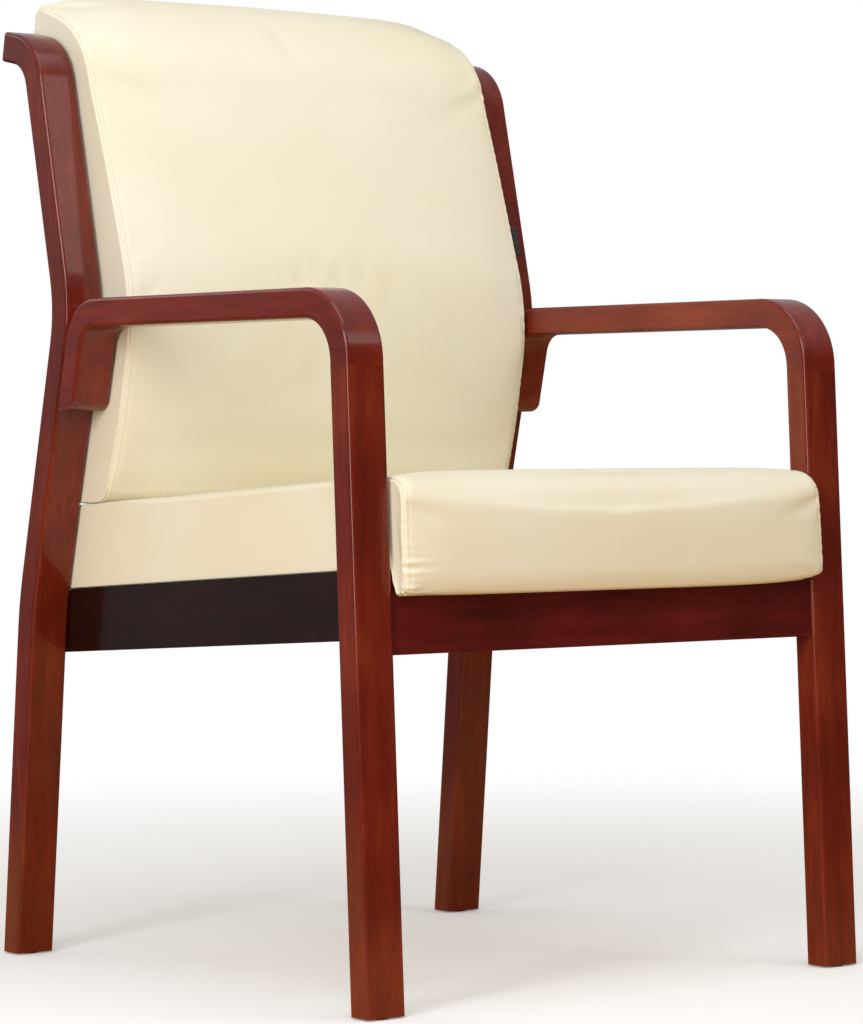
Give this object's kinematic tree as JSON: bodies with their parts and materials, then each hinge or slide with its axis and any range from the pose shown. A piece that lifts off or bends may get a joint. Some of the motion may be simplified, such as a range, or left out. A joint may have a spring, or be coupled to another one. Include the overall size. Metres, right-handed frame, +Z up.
{
  "type": "conference armchair",
  "caption": "Wooden armchair with flat bent arms, S-curved rear posts that end in a short scroll, a padded leather seat and a padded leather back between the posts.",
  "frame": {"origin": "on the floor, at the middle of the chair's overall width and depth", "axes": "+Z up; -Y is the way a sitter faces, so +Y points to the back; +X is the right side as seen from the front by someone facing the chair"},
  "size_m": [0.58, 0.6359, 0.9556],
  "materials": {
    "frame_wood": "cherry-stained, glossy lacquer",
    "inner_wood": "raw beech and plywood",
    "leather": "cream, fine grain, semi-gloss",
    "foam": "open-cell foam",
    "steel": "zinc plated",
    "nylon": "moulded nylon",
    "tag": "woven tape"
  },
  "bodies": {
    "root": {"front_leg_right": "frame_wood", "front_leg_left": "frame_wood", "arm_right": "frame_wood", "arm_left": "frame_wood", "rear_post_right": "frame_wood", "rear_post_left": "frame_wood", "front_rail": "frame_wood", "rear_rail": "frame_wood", "side_rail_right": "frame_wood", "side_rail_left": "frame_wood", "corner_blocks": "inner_wood", "rail_dowels": "inner_wood", "side_rail_dowels": "inner_wood", "arm_dowels": "inner_wood", "lug_dowels": "inner_wood", "corner_block_screws": "steel", "seat_screws": "steel", "seat_board": "inner_wood", "seat_foam": "foam", "seat_cover": "leather", "back_core": "inner_wood", "back_cleats": "inner_wood", "back_battens": "leather", "cleat_screws": "steel", "core_screws": "steel", "back_foam": "foam", "back_cover": "leather", "back_rear_panel": "leather", "side_tag": "tag", "foot_glides": "nylon"}
  },
  "joints": []
}
